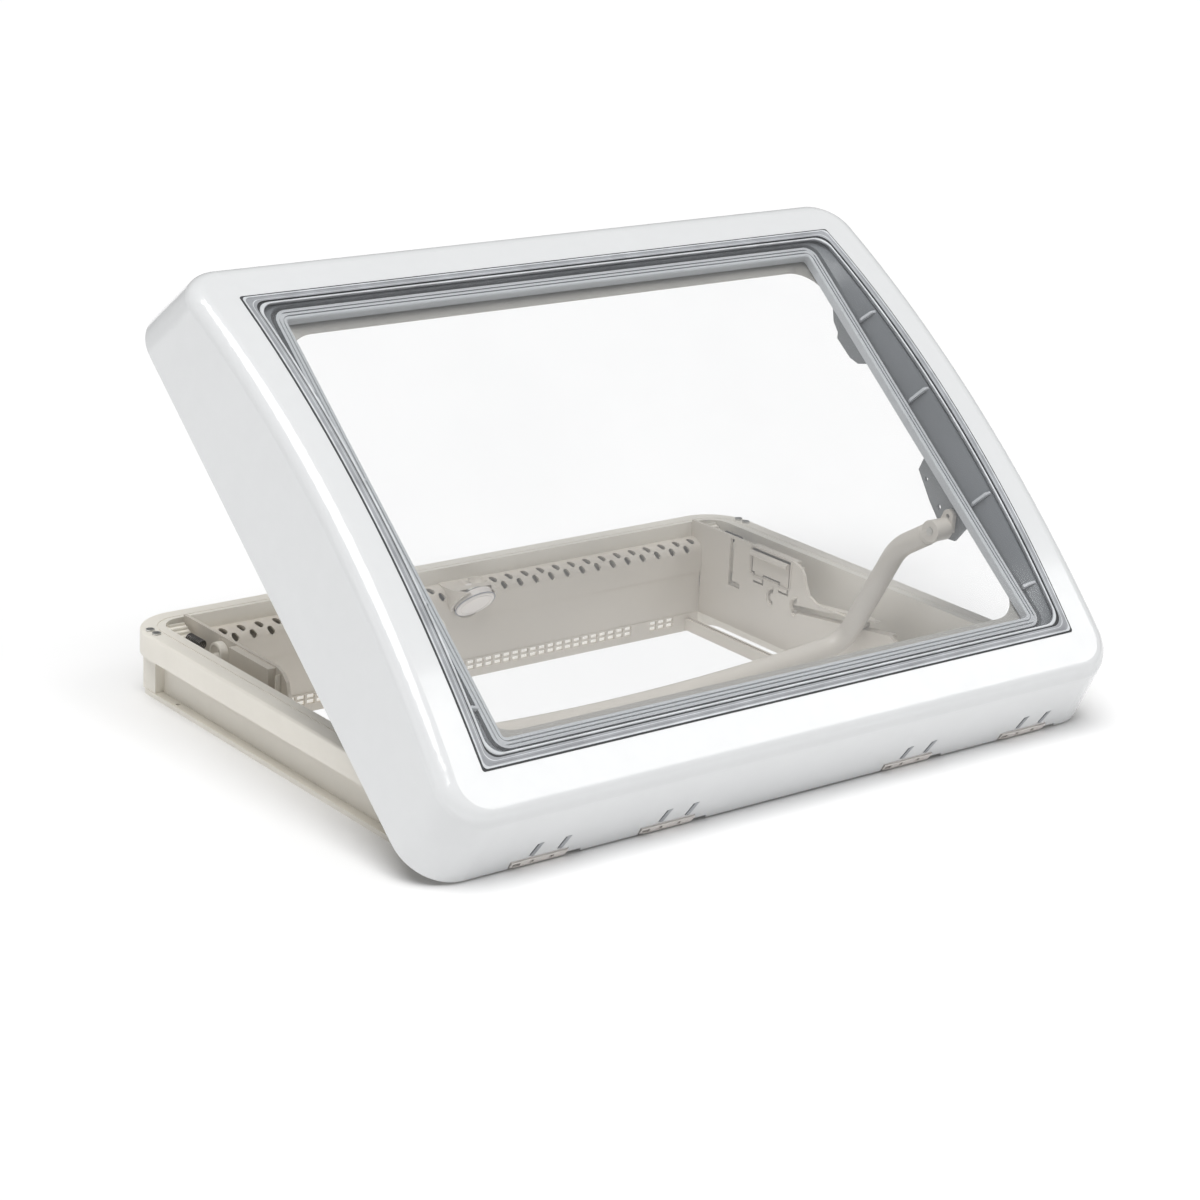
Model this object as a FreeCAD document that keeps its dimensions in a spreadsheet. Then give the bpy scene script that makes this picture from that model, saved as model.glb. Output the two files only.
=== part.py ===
import FreeCAD, Part
import math
import os
import Sketcher

# Rooflight with a double-glazed hood that swings open on a bow lever. Millimetres, +Z up.
# The origin is the centre of the roof cut-out, level with the underside of the frame's flange.
# +X is to the right and +Y to the rear. The hood is drawn shut, then swung up about its hinge.
App = FreeCAD
doc = App.newDocument("Rooflight")
sheet = doc.addObject("Spreadsheet::Sheet", "Sizes")

SIZES = {
    # frame on the roof
    "band_half_x": 378, "band_half_y": 278, "band_radius": 50, "band_top": 70, "band_bottom": 46,
    "lip_half_x": 365, "lip_rear_y": 265, "lip_front_y": 258, "lip_radius": 15, "lip_height": 5,
    "wall_half_x": 354.5, "wall_rear_y": 259.5, "wall_front_y": 240, "wall_radius": 27, "skin": 3.5,
    "neck_half_x": 346, "neck_half_y": 246, "neck_depth": 48, "neck_skin": 3, "neck_radius": 20,
    "bolt_x": 359.75, "bolt_y": 200, "bolt_radius": 2.25,
    # inside of the frame
    "cheek_x": 318, "liner_y": 236.5, "liner_bottom": -28, "vent_bottom": 19,
    "vent_top": 54, "vent_bend": 14, "vent_skin": 3, "rail_x": 300, "rail_width": 8, "rail_top": -33,
    # hood, shut
    "hood_half_x": 408, "hood_half_y": 308, "hood_radius": 48, "rim_z": 6, "crown_z": 114,
    "hood_bulge": 24, "hood_taper": 22, "hood_skin": 4, "shoulder": 17,
    "window_half_x": 351, "window_half_y": 253, "pane_half_x": 340, "pane_half_y": 242,
    "clear_half_x": 313, "clear_half_y": 225, "bar_top": 86.5, "bar_width": 12, "ring_z": 77,
    "ring_height": 4,
    # motion
    "hinge_y": -283, "hinge_z": 58, "open_angle": 39, "pin_radius": 2.5, "barrel_radius": 4.5,
    "pivot_y": -132, "pivot_z": 171, "rod_radius": 4, "running_gap": 0.05,
    "bow_ratio": 2.067, "bow_x": 304, "bow_radius": 11, "guide_y": -22.3, "guide_z": 35.2, "guide_radius": 4,
    "knob_x": 4, "knob_y": 222, "knob_z": 37, "knob_radius": 21.5, "knob_tilt": 41.5,
    "flap_axis_z": 37, "flap_pin_radius": 1.6,
}
HINGE_X = (-283, -141.8, 148.7, 301.9)
SCREW_Y = (-226, 225, 237)
nodes = []


def fill_sheet():
    for row, (alias, number) in enumerate(SIZES.items(), start=1):
        sheet.set(f"A{row}", alias)
        sheet.set(f"B{row}", str(number))
        sheet.setAlias(f"B{row}", alias)
    doc.recompute()


def size(alias):
    return float(sheet.get(alias))


def cell(alias):
    return f"Sizes.{alias}"


def node(item, label):
    item.Label = label
    nodes.append(item)
    return item


# ---------------------------------------------------------------- primitives and booleans
def box(x, y, z, name="block"):
    """A box between two formulas on each axis."""
    item = doc.addObject("Part::Box", name)
    for side, axis, (low, high) in zip(("Length", "Width", "Height"), "xyz", (x, y, z)):
        item.setExpression(side, f"({high}) - ({low})")
        item.setExpression(f"Placement.Base.{axis}", f"{low}")
    return item


def rod(axis, radius, at, low, high, name="rod"):
    """A cylinder along x, y or z between two formulas; at gives the other two places."""
    item = doc.addObject("Part::Cylinder", name)
    turn = {"x": (App.Vector(0, 1, 0), 90), "y": (App.Vector(1, 0, 0), -90), "z": (App.Vector(0, 0, 1), 0)}
    item.Placement = App.Placement(App.Vector(), App.Rotation(*turn[axis]))
    item.setExpression("Radius", str(radius))
    item.setExpression("Height", f"({high}) - ({low})")
    places = dict(zip([a for a in "xyz" if a != axis], at))
    places[axis] = low
    for letter, place in places.items():
        item.setExpression(f"Placement.Base.{letter}", str(place))
    return item


def fuse(items, name="joined"):
    joined = doc.addObject("Part::MultiFuse", name)
    joined.Shapes = items
    joined.Refine = True
    return joined


def cut(base, tools, name="cut"):
    for tool in tools:
        made = doc.addObject("Part::Cut", name)
        made.Base, made.Tool = base, tool
        made.Refine = True
        base = made
    return base


def common(base, tool, name="kept"):
    made = doc.addObject("Part::Common", name)
    made.Base, made.Tool = base, tool
    return made


def mirrored(item, label):
    twin = doc.addObject("Part::Mirroring", label)
    twin.Source = item
    twin.Normal = App.Vector(1, 0, 0)
    return node(twin, label)


def shaped(shape, name):
    item = doc.addObject("Part::Feature", name)
    item.Shape = shape
    return item


# ---------------------------------------------------------------- sketches
def body(label):
    return doc.addObject("PartDesign::Body", label)


def sketch_on(holder, plane, name, offset=0.0):
    made = holder.newObject("Sketcher::SketchObject", name)
    origin_plane = [f for f in holder.Origin.OriginFeatures if f.Role == plane][0]
    made.AttachmentSupport = [(origin_plane, "")]
    made.MapMode = "FlatFace"
    made.AttachmentOffset = App.Placement(App.Vector(0, 0, offset), App.Rotation())
    return made


def fix(sketch, kind, *where, formula=None):
    index = sketch.addConstraint(Sketcher.Constraint(kind, *where))
    if formula is not None:
        sketch.renameConstraint(index, f"{kind.lower()}_{index}")
        sketch.setExpression(f"Constraints.{kind.lower()}_{index}", formula)


def rounded_rectangle(sketch, x, front, rear, radius):
    """Outline from -x to x and from front to rear, each (formula, number), with round corners."""
    (fx, nx), (ff, nf), (fr, nr), (fc, nc) = x, front, rear, radius
    corners = [(nx - nc, nr - nc, 0), (-nx + nc, nr - nc, 90),
               (-nx + nc, nf + nc, 180), (nx - nc, nf + nc, 270)]
    up = App.Vector(0, 0, 1)
    arcs = []
    for cx, cy, start in corners:
        circle = Part.Circle(App.Vector(cx, cy, 0), up, nc)
        quarter = Part.ArcOfCircle(circle, math.radians(start), math.radians(start + 90))
        arcs.append(sketch.addGeometry(quarter))
    sides = []
    ends = [((nx - nc, nr), (-nx + nc, nr)), ((-nx, nr - nc), (-nx, nf + nc)),
            ((-nx + nc, nf), (nx - nc, nf)), ((nx, nf + nc), (nx, nr - nc))]
    for (ax, ay), (bx, by) in ends:
        sides.append(sketch.addGeometry(Part.LineSegment(App.Vector(ax, ay, 0), App.Vector(bx, by, 0))))
    for turn in range(4):
        fix(sketch, "Tangent", arcs[turn], 2, sides[turn], 1)
        fix(sketch, "Tangent", sides[turn], 2, arcs[(turn + 1) % 4], 1)
    for flat, upright in ((sides[0], sides[1]), (sides[2], sides[3])):
        fix(sketch, "Horizontal", flat)
        fix(sketch, "Vertical", upright)
    for other in arcs[1:]:
        fix(sketch, "Equal", arcs[0], other)
    fix(sketch, "Radius", arcs[0], nc, formula=fc)
    fix(sketch, "DistanceX", -1, 1, sides[3], 1, nx, formula=fx)
    fix(sketch, "DistanceX", sides[1], 1, -1, 1, nx, formula=fx)
    fix(sketch, "DistanceY", -1, 1, sides[0], 1, nr, formula=fr)
    fix(sketch, "DistanceY", sides[2], 1, -1, 1, -nf, formula=f"-({ff})")


def outline(sketch, points):
    """A closed outline of straight sides through fixed points."""
    count = len(points)
    for here, (a, b) in enumerate(zip(points, points[1:] + points[:1])):
        sketch.addGeometry(Part.LineSegment(App.Vector(*a, 0), App.Vector(*b, 0)))
        fix(sketch, "DistanceX", -1, 1, here, 1, a[0])
        fix(sketch, "DistanceY", -1, 1, here, 1, a[1])
    for here in range(count):
        sketch.addConstraint(Sketcher.Constraint("Coincident", here, 2, (here + 1) % count, 1))


def pad(holder, sketch, length, name, symmetric=False):
    made = holder.newObject("PartDesign::Pad", name)
    made.Profile = sketch
    made.setExpression("Length", str(length))
    made.Midplane = symmetric
    holder.Tip = made
    return made


def ring_pad(holder, name, level, height, outer, inner):
    """A closed frame between two rounded outlines, each (half x, front, rear, radius) in numbers and cells."""
    profile = sketch_on(holder, "XY_Plane", f"{name}_outline", level)
    rounded_rectangle(profile, *outer)
    rounded_rectangle(profile, *inner)
    return pad(holder, profile, height, name)


def soften(holder, feature, level, radius):
    """Round the outermost edges of a feature at one height."""
    doc.recompute()
    reach = feature.Shape.BoundBox.XMax
    edges = [f"Edge{n}" for n, edge in enumerate(feature.Shape.Edges, start=1)
             if abs(edge.BoundBox.ZMin - level) < 1e-6 and abs(edge.BoundBox.ZMax - level) < 1e-6
             and min(abs(edge.BoundBox.XMax - reach), abs(edge.BoundBox.XMin + reach),
                     abs(abs(edge.BoundBox.YMax) - size("band_half_y")),
                     abs(abs(edge.BoundBox.YMin) - size("band_half_y"))) < 1e-6]
    made = holder.newObject("PartDesign::Fillet", "softened")
    made.Base = (feature, edges)
    made.Radius = radius
    holder.Tip = made


def rounded(x, front, rear, radius):
    """Formula and number pairs for an outline, from (alias, shift) for each side."""
    def one(alias, shift=0.0, sign=1):
        text = f"{'-' if sign < 0 else ''}Sizes.{alias} + {shift}"
        return (text, sign * size(alias) + shift)
    return one(*x), one(*front), one(*rear), one(*radius)


# ---------------------------------------------------------------- frame on the roof
def base_frame():
    frame = body("frame_body")
    skin, drop = size("skin"), size("neck_depth")
    band = rounded(("band_half_x",), ("band_half_y", 0, -1), ("band_half_y",), ("band_radius",))
    band_inside = rounded(("band_half_x", -skin), ("band_half_y", skin, -1), ("band_half_y", -skin),
                          ("band_radius", -skin))
    wall = rounded(("wall_half_x",), ("wall_front_y", 0, -1), ("wall_rear_y",), ("wall_radius",))
    wall_inside = rounded(("wall_half_x", -skin), ("wall_front_y", skin, -1), ("wall_rear_y", -skin),
                          ("wall_radius", -skin))
    lip = rounded(("lip_half_x",), ("lip_front_y", 0, -1), ("lip_rear_y",), ("lip_radius",))
    floor_hole = rounded(("cheek_x", skin), ("liner_y", -1.2, -1), ("liner_y", 3), ("skin", -2.5))
    neck = rounded(("neck_half_x",), ("neck_half_y", 0, -1), ("neck_half_y",), ("neck_radius",))
    thin = size("neck_skin")
    neck_inside = rounded(("neck_half_x", -thin), ("neck_half_y", thin, -1), ("neck_half_y", -thin),
                          ("neck_radius", -thin))
    ring_pad(frame, "floor_and_lip", 0, cell("lip_height"), lip, floor_hole)
    ring_pad(frame, "upright_wall", size("lip_height"), "Sizes.band_top - Sizes.lip_height - Sizes.skin",
             wall, wall_inside)
    rim = ring_pad(frame, "rim_top", size("band_top") - skin, cell("skin"), band, wall_inside)
    soften(frame, rim, size("band_top"), 3)
    ring_pad(frame, "rim_skirt", size("band_bottom"), "Sizes.band_top - Sizes.band_bottom - Sizes.skin",
             band, band_inside)
    ring_pad(frame, "neck", -drop, cell("neck_depth"), neck, neck_inside)
    posts = []
    for x_low, x_high in ((-364, -354), (354, 364)):
        posts.append(box((x_low, x_high), (236, 259), (cell("lip_height"), cell("band_bottom")), "post"))
    holes = [rod("z", cell("bolt_radius"), (f"{sx} * Sizes.bolt_x", f"{sy} * Sizes.bolt_y"), -1,
                 "Sizes.lip_height + 1", "bolt_hole") for sx in (-1, 1) for sy in (-1, 1)]
    screw_holes = [rod("z", 2, (sx * 369, y), 60, "Sizes.band_top + 1", "screw_hole")
                   for sx in (-1, 1) for y in SCREW_Y]
    notches = [box((x - 10.5, x + 10.5), ("-Sizes.band_half_y - 1", "-Sizes.band_half_y + 6"),
                   (40, "Sizes.hinge_z + 6"), "hinge_notch") for x in HINGE_X]
    bead = rounded_prism(362, 262, 34, size("band_top") - 0.8, size("band_top") + 1).cut(
        rounded_prism(360.8, 260.8, 33, size("band_top") - 1, size("band_top") + 2))
    whole = fuse([frame] + posts, "frame_with_posts")
    node(cut(whole, [fuse(holes + screw_holes + notches, "frame_holes"), shaped(bead, "bead")],
             "frame_drilled"), "base_frame")


def rim_screws():
    screws = []
    for side in (-1, 1):
        for y in SCREW_Y:
            head = rod("z", 4.2, (side * 369, y), cell("band_top"), "Sizes.band_top + 1.8", "head")
            shank = rod("z", 1.95, (side * 369, y), "Sizes.band_top - 12", cell("band_top"), "shank")
            slot = box((side * 369 - 3, side * 369 + 3), (y - 0.5, y + 0.5),
                       ("Sizes.band_top + 1", "Sizes.band_top + 3"), "slot")
            screws.append(cut(fuse([head, shank]), [slot], "screw"))
    group = doc.addObject("Part::Compound", "rim_screws")
    group.Links = screws
    node(group, "rim_screws")


CHEEK_OUTLINE = [(-236.5, -28), (236.5, -28), (236.5, 19), (256, 19), (256, 72.5), (88, 72.5), (77, 69),
                 (70, 62), (67, 52), (61, 42), (48, 37), (0, 37), (-16, 41), (-60, 41), (-70, 33), (-118, 33),
                 (-130, 44),
                 (-160, 56), (-236.5, 62)]


def plate(name, points, low, thick, hollow=()):
    """A flat plate in the YZ plane, thick along +X from low."""
    holder = body(name)
    profile = sketch_on(holder, "YZ_Plane", f"{name}_outline", low)
    outline(profile, points)
    pad(holder, profile, thick, f"{name}_pad")
    return holder


def about(point, centre, degrees):
    """Turn a (y, z) place about the X axis through centre."""
    angle = math.radians(degrees)
    y, z = point[0] - centre[0], point[1] - centre[1]
    return (centre[0] + y * math.cos(angle) - z * math.sin(angle),
            centre[1] + y * math.sin(angle) + z * math.cos(angle))


def guide_place(opening):
    """Where the bow's guide pin stands when the hood is open by this many degrees."""
    hinge, pivot = (size("hinge_y"), size("hinge_z")), (size("pivot_y"), size("pivot_z"))
    lifted = opening - size("open_angle")
    on_hood = about((size("guide_y"), size("guide_z")), pivot, -size("bow_ratio") * lifted)
    return about(on_hood, hinge, lifted)


def guide_track(room):
    """Outline of the slot that the guide pin runs along, from shut to wide open."""
    places = [guide_place(opening) for opening in (0, 4, 8, 16, 24, 32, 39, 46, 53, 60, 64)]
    places.insert(0, (places[0][0] + 8, places[0][1] - 1.2))
    return [(y, z - room) for y, z in places] + [(y, z + room) for y, z in reversed(places)]


def cheek_panels():
    x, skin = size("cheek_x"), size("skin")
    panel = plate("cheek_plate", CHEEK_OUTLINE, x, "Sizes.skin")
    room = size("guide_radius") + 0.6
    track = plate("track_block", guide_track(room + 3), x + skin, 8.5)
    channel = common(track, box((x, x + skin + 10), (-62, 110), (0, 42), "track_window"), "groove_block")
    groove = plate("groove_cutter", guide_track(room), x - 1, skin + 10.5)
    slots = [box((x - 1, x + skin + 1), (183.5, 190), (30, 70), "upright_slot"),
             box((x - 1, x + skin + 1), (171, 190), (17, 23), "foot_slot"),
             box((x - 1, x + skin + 1), (183.5, 190), (20, 31), "slot_corner"),
             box((x - 1, x + skin + 1), (92, 154), (42, 70), "latch_window"),
             box((x - 1, x + skin + 1), (133, 149.5), (32, 43), "lug_window"),
             box((x - 1, x + skin + 1), (92.5, 108.5), (32, 43), "lug_window")]
    for y in (84, 122):
        hook = rod("x", 9, (y - 6, 24), x - 1, x + skin + 1, "hook_round")
        hook_core = rod("x", 4.5, (y - 6, 24), x - 2, x + skin + 2, "hook_core")
        below = box((x - 1, x + skin + 1), (y - 20, y - 6), (10, 36), "hook_trim")
        slots.append(cut(hook, [hook_core, below], "hook_slot"))
    whole = cut(fuse([panel, channel], "cheek_with_groove"), [groove, fuse(slots, "cheek_slots")], "cheek_cut")
    node(whole, "right_cheek_panel")
    mirrored(whole, "left_cheek_panel")


def latch_parts():
    x, skin, axis = size("cheek_x"), size("skin"), cell("flap_axis_z")
    shell = box((x + skin, x + skin + 8.5), (88, 158), (31.5, 71), "housing")
    inside = box((x + skin - 1, x + skin + 7.3), (90, 156), (33, 70), "housing_inside")
    housing = cut(shell, [inside], "housing_shell")
    node(housing, "right_latch_housing")
    mirrored(housing, "left_latch_housing")
    spans = ((94, 107), (134.5, 148))
    sheet_part = box((x + 0.4, x + 2.6), (94, 152), (44, 66), "flap_plate")
    bar = rod("y", 3.2, (x - 2.6, 65), 93, 153, "flap_bar")
    link = box((x - 2.6, x + 2.6), (94, 152), (63, 66), "flap_link")
    lugs = [box((x + 0.4, x + 2.6), span, (37, 45), "lug") for span in spans]
    eyes = [rod("y", 3, (x + 1.5, axis), span[0], span[1], "eye") for span in spans]
    bore_radius = "Sizes.flap_pin_radius + Sizes.running_gap"
    bores = [rod("y", bore_radius, (x + 1.5, axis), span[0] - 1, span[1] + 1, "bore")
             for span in spans]
    flap = cut(fuse([sheet_part, bar, link] + lugs + eyes, "flap_body"), [fuse(bores, "flap_bores")], "flap")
    node(flap, "right_latch_flap")
    mirrored(flap, "left_latch_flap")
    pins = doc.addObject("Part::Compound", "right_flap_pins")
    pins.Links = [rod("y", cell("flap_pin_radius"), (x + 1.5, axis), span[0] - 0.8, span[1] + 0.8, "flap_pin")
                  for span in spans]
    node(pins, "right_flap_pins")
    mirrored(pins, "left_flap_pins")


def vent_parts():
    """Vent housing across the rear, with a boss for the knob, over the lower wall and the grille."""
    low, top, bend, skin = size("vent_bottom"), size("vent_top"), size("vent_bend"), size("vent_skin")
    front = size("liner_y") - 0.5
    centre = App.Vector(0, front + bend, top - bend)

    def corner(radius):
        def at(angle):
            return centre + App.Vector(0, -radius * math.cos(angle), radius * math.sin(angle))
        return at(0), at(math.pi / 4), at(math.pi / 2)
    outer, inner = corner(bend), corner(bend - skin)
    rear = App.Vector(0, size("wall_rear_y") - size("skin"), 0)
    edges = [Part.makeLine(App.Vector(0, front, low), outer[0]), Part.Arc(*outer).toShape(),
             Part.makeLine(outer[2], App.Vector(0, rear.y, top)),
             Part.makeLine(App.Vector(0, rear.y, top), App.Vector(0, rear.y, top - skin)),
             Part.makeLine(App.Vector(0, rear.y, top - skin), inner[2]), Part.Arc(*reversed(inner)).toShape(),
             Part.makeLine(inner[0], App.Vector(0, front + skin, low)),
             Part.makeLine(App.Vector(0, front + skin, low), App.Vector(0, front, low))]
    section = Part.Face(Part.Wire(edges))
    width = size("cheek_x")
    section.translate(App.Vector(-width, 0, 0))
    shell = section.extrude(App.Vector(2 * width, 0, 0))
    tilt = math.radians(size("knob_tilt"))
    inward = App.Vector(0, math.cos(tilt), math.sin(tilt))
    face = App.Vector(size("knob_x"), size("knob_y"), size("knob_z"))
    boss = Part.makeCylinder(26.5, 34, face + inward * 5, inward)
    envelope = Part.makeBox(80, rear.y - 190, top - 8, App.Vector(size("knob_x") - 40, 190, 9))
    whole = shell.fuse(boss.common(envelope)).removeSplitter()
    cup = Part.makeCylinder(23, 18, face - inward * 4, inward)
    stem_bore = Part.makeCylinder(6 + size("running_gap"), 30, face + inward * 10, inward)
    whole = whole.cut(cup).cut(stem_bore)
    holes = []
    pitch, count = 20.5, 14
    for side, start in ((1, 41), (-1, 38)):
        for step in range(count):
            for angle, shift in ((66, 0.0), (28, pitch / 2)):
                x = side * (start + step * pitch) + shift
                if abs(x) < width - 8:
                    holes.append(oval_cutter(centre + App.Vector(x, 0, 0), bend, math.radians(angle)))
    thumb = Part.makeSphere(11, App.Vector(size("knob_x") + 17, front + 8, top + 5))
    whole = whole.cut(Part.makeCompound(holes)).cut(thumb)
    node(shaped(whole, "rear_vent_housing"), "rear_vent_housing")


def oval_cutter(centre, bend, angle):
    """A slanted oval prism through the bend of the vent housing."""
    half, radius, depth = 1.7, 3.1, 12
    prism = Part.makeCylinder(radius, depth, App.Vector(half, 0, 0)).fuse(
        [Part.makeCylinder(radius, depth, App.Vector(-half, 0, 0)),
         Part.makeBox(2 * half, 2 * radius, depth, App.Vector(-half, -radius, 0))]).removeSplitter()
    prism.rotate(App.Vector(), App.Vector(0, 0, 1), -60)
    out = App.Vector(0, -math.cos(angle), math.sin(angle))
    prism.Placement = App.Placement(centre + out * (bend - 7), App.Rotation(App.Vector(0, 0, 1), out)).multiply(
        prism.Placement)
    return prism


def knob_parts():
    tilt = math.radians(size("knob_tilt"))
    inward = App.Vector(0, math.cos(tilt), math.sin(tilt))
    face = App.Vector(size("knob_x"), size("knob_y"), size("knob_z"))
    disc = Part.makeCylinder(size("knob_radius"), 9, face, inward)
    stem = Part.makeCylinder(6, 14, face + inward * 9, inward)
    front_edge = min(disc.Edges, key=lambda e: (e.CenterOfMass - face).Length)
    disc = disc.makeFillet(1.8, [front_edge])
    node(shaped(disc.fuse(stem).removeSplitter(), "push_knob"), "push_knob")
    spring = Part.makeCylinder(14, 0.9, face + inward * 13, inward).cut(
        Part.makeCylinder(7, 0.9, face + inward * 13, inward))
    node(shaped(spring, "knob_spring"), "knob_spring")


def lower_liners():
    half, liner = cell("cheek_x"), cell("liner_y")
    node(box((f"-{half}", half), (f"{liner} + 1", f"{liner} + 3"), (cell("liner_bottom"), cell("vent_bottom")),
             "rear_inner_wall"), "rear_inner_wall")
    strip = box((f"-{half}", half), (liner, f"{liner} + 3"), ("-Sizes.neck_depth", cell("liner_bottom")), "strip")
    windows = []
    for step in range(-24, 25):
        if step not in (20, 21):
            x = 11.6 * step
            for z in (-31.6, -37.4):
                windows.append(box((x - 4.7, x + 4.7), (f"{liner} - 1", f"{liner} + 4"), (z - 2.3, z + 2.3),
                                   "window"))
    node(cut(strip, [fuse(windows, "grille_windows")], "strip_cut"), "rear_vent_grille")
    node(box((f"-{half}", half), (f"-{liner}", f"-{liner} + 3"), ("-Sizes.neck_depth", 62),
             "front_inner_wall"), "front_inner_wall")
    rail = box((cell("rail_x"), "Sizes.rail_x + Sizes.rail_width"), (f"-{liner} + 3", liner),
               (cell("rail_top") + " - 13", cell("rail_top")), "rail")
    groove = box(("Sizes.rail_x + 3", "Sizes.rail_x + 5.5"), (-300, 300),
                 ("Sizes.rail_top - 9", "Sizes.rail_top + 1"),
                 "rail_groove")
    whole = cut(rail, [groove], "rail_cut")
    node(whole, "right_blind_rail")
    mirrored(whole, "left_blind_rail")


# ---------------------------------------------------------------- hood, drawn shut
def arched(offset, half_y, low, name):
    """A slab whose top follows the crown, offset from it, and whose underside is flat at low."""
    span, bulge, crown = size("window_half_y"), size("hood_bulge"), size("crown_z") + offset
    radius = (span ** 2 + bulge ** 2) / (2 * bulge) + offset
    drop = radius - math.sqrt(radius ** 2 - half_y ** 2)
    ends = [App.Vector(0, side * half_y, crown - drop) for side in (-1, 1)]
    feet = [App.Vector(0, side * half_y, low) for side in (-1, 1)]
    top = Part.Arc(ends[0], App.Vector(0, 0, crown), ends[1]).toShape()
    wire = Part.Wire([top, Part.makeLine(ends[1], feet[1]),
                      Part.makeLine(feet[1], feet[0]), Part.makeLine(feet[0], ends[0])])
    face = Part.Face(wire)
    face.translate(App.Vector(-450, 0, 0))
    return face.extrude(App.Vector(900, 0, 0))


def rounded_prism(half_x, half_y, radius, low, high, taper=0.0):
    """An upright prism with round corners, narrowing by taper on every side."""
    def ring(hx, hy, corner, level):
        flat = Part.makePlane(2 * hx, 2 * hy, App.Vector(-hx, -hy, level))
        solid = flat.extrude(App.Vector(0, 0, 1))
        upright = [e for e in solid.Edges if abs(e.Vertexes[0].X - e.Vertexes[1].X) < 1e-6
                   and abs(e.Vertexes[0].Y - e.Vertexes[1].Y) < 1e-6]
        solid = solid.makeFillet(corner, upright)
        return [f for f in solid.Faces if abs(f.CenterOfMass.z - level) < 1e-6][0].OuterWire
    first = ring(half_x, half_y, radius, low)
    if not taper:
        return Part.Face(first).extrude(App.Vector(0, 0, high - low))
    second = ring(half_x - taper, half_y - taper, radius - taper / 2, high)
    return Part.makeLoft([first, second], True, True)


def crown_edges(solid):
    """Edges between the arched top and the sides."""
    top = max(solid.Faces, key=lambda f: f.CenterOfMass.z)
    return top.Edges


def domed(inset, skin_drop, shoulder):
    low = size("rim_z") - inset * 2
    high = size("crown_z") + 12
    block = rounded_prism(size("hood_half_x") - inset, size("hood_half_y") - inset, size("hood_radius") - inset,
                          low, high, size("hood_taper"))
    solid = block.common(arched(-skin_drop, 330, low - 10, "crown"))
    return solid.makeFillet(shoulder, crown_edges(solid))


def hood_shell():
    skin = size("hood_skin")
    shell = domed(0, 0, size("shoulder")).cut(domed(skin, skin, size("shoulder") - skin))
    opening = rounded_prism(size("window_half_x"), size("window_half_y"), 6, 60, 140)
    shell = shell.cut(opening)
    cutters = []
    rim, front = size("rim_z"), -size("hood_half_y")
    for x in HINGE_X:
        cutters.append(Part.makeBox(62, 14, 10, App.Vector(x - 31, front - 2, rim - 1)))
        cutters.append(Part.makeBox(17, 14, 4, App.Vector(x + 30, front - 2, rim - 1)))
        for shift in (-13, 17):
            slot = Part.makeBox(6, 14, 15, App.Vector(x + shift, front - 2, rim + 11.5))
            slot.rotate(App.Vector(x + shift, front, rim + 11.5), App.Vector(0, 1, 0), 16)
            cutters.append(slot)
    node(hood_part(shell.cut(Part.makeCompound(cutters)), "hood_shell"), "hood_shell")


def hood_part(shape, name):
    """Set a shape that is drawn shut, then swing it up about the hinge."""
    item = shaped(shape, name)
    swing(item)
    return item


def swing(item):
    angle = math.radians(size("open_angle"))
    y, z = size("hinge_y"), size("hinge_z")
    turn = App.Rotation(App.Vector(1, 0, 0), size("open_angle"))
    item.Placement = App.Placement(App.Vector(0, y - y * math.cos(angle) + z * math.sin(angle),
                                              z - y * math.sin(angle) - z * math.cos(angle)), turn)


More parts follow.
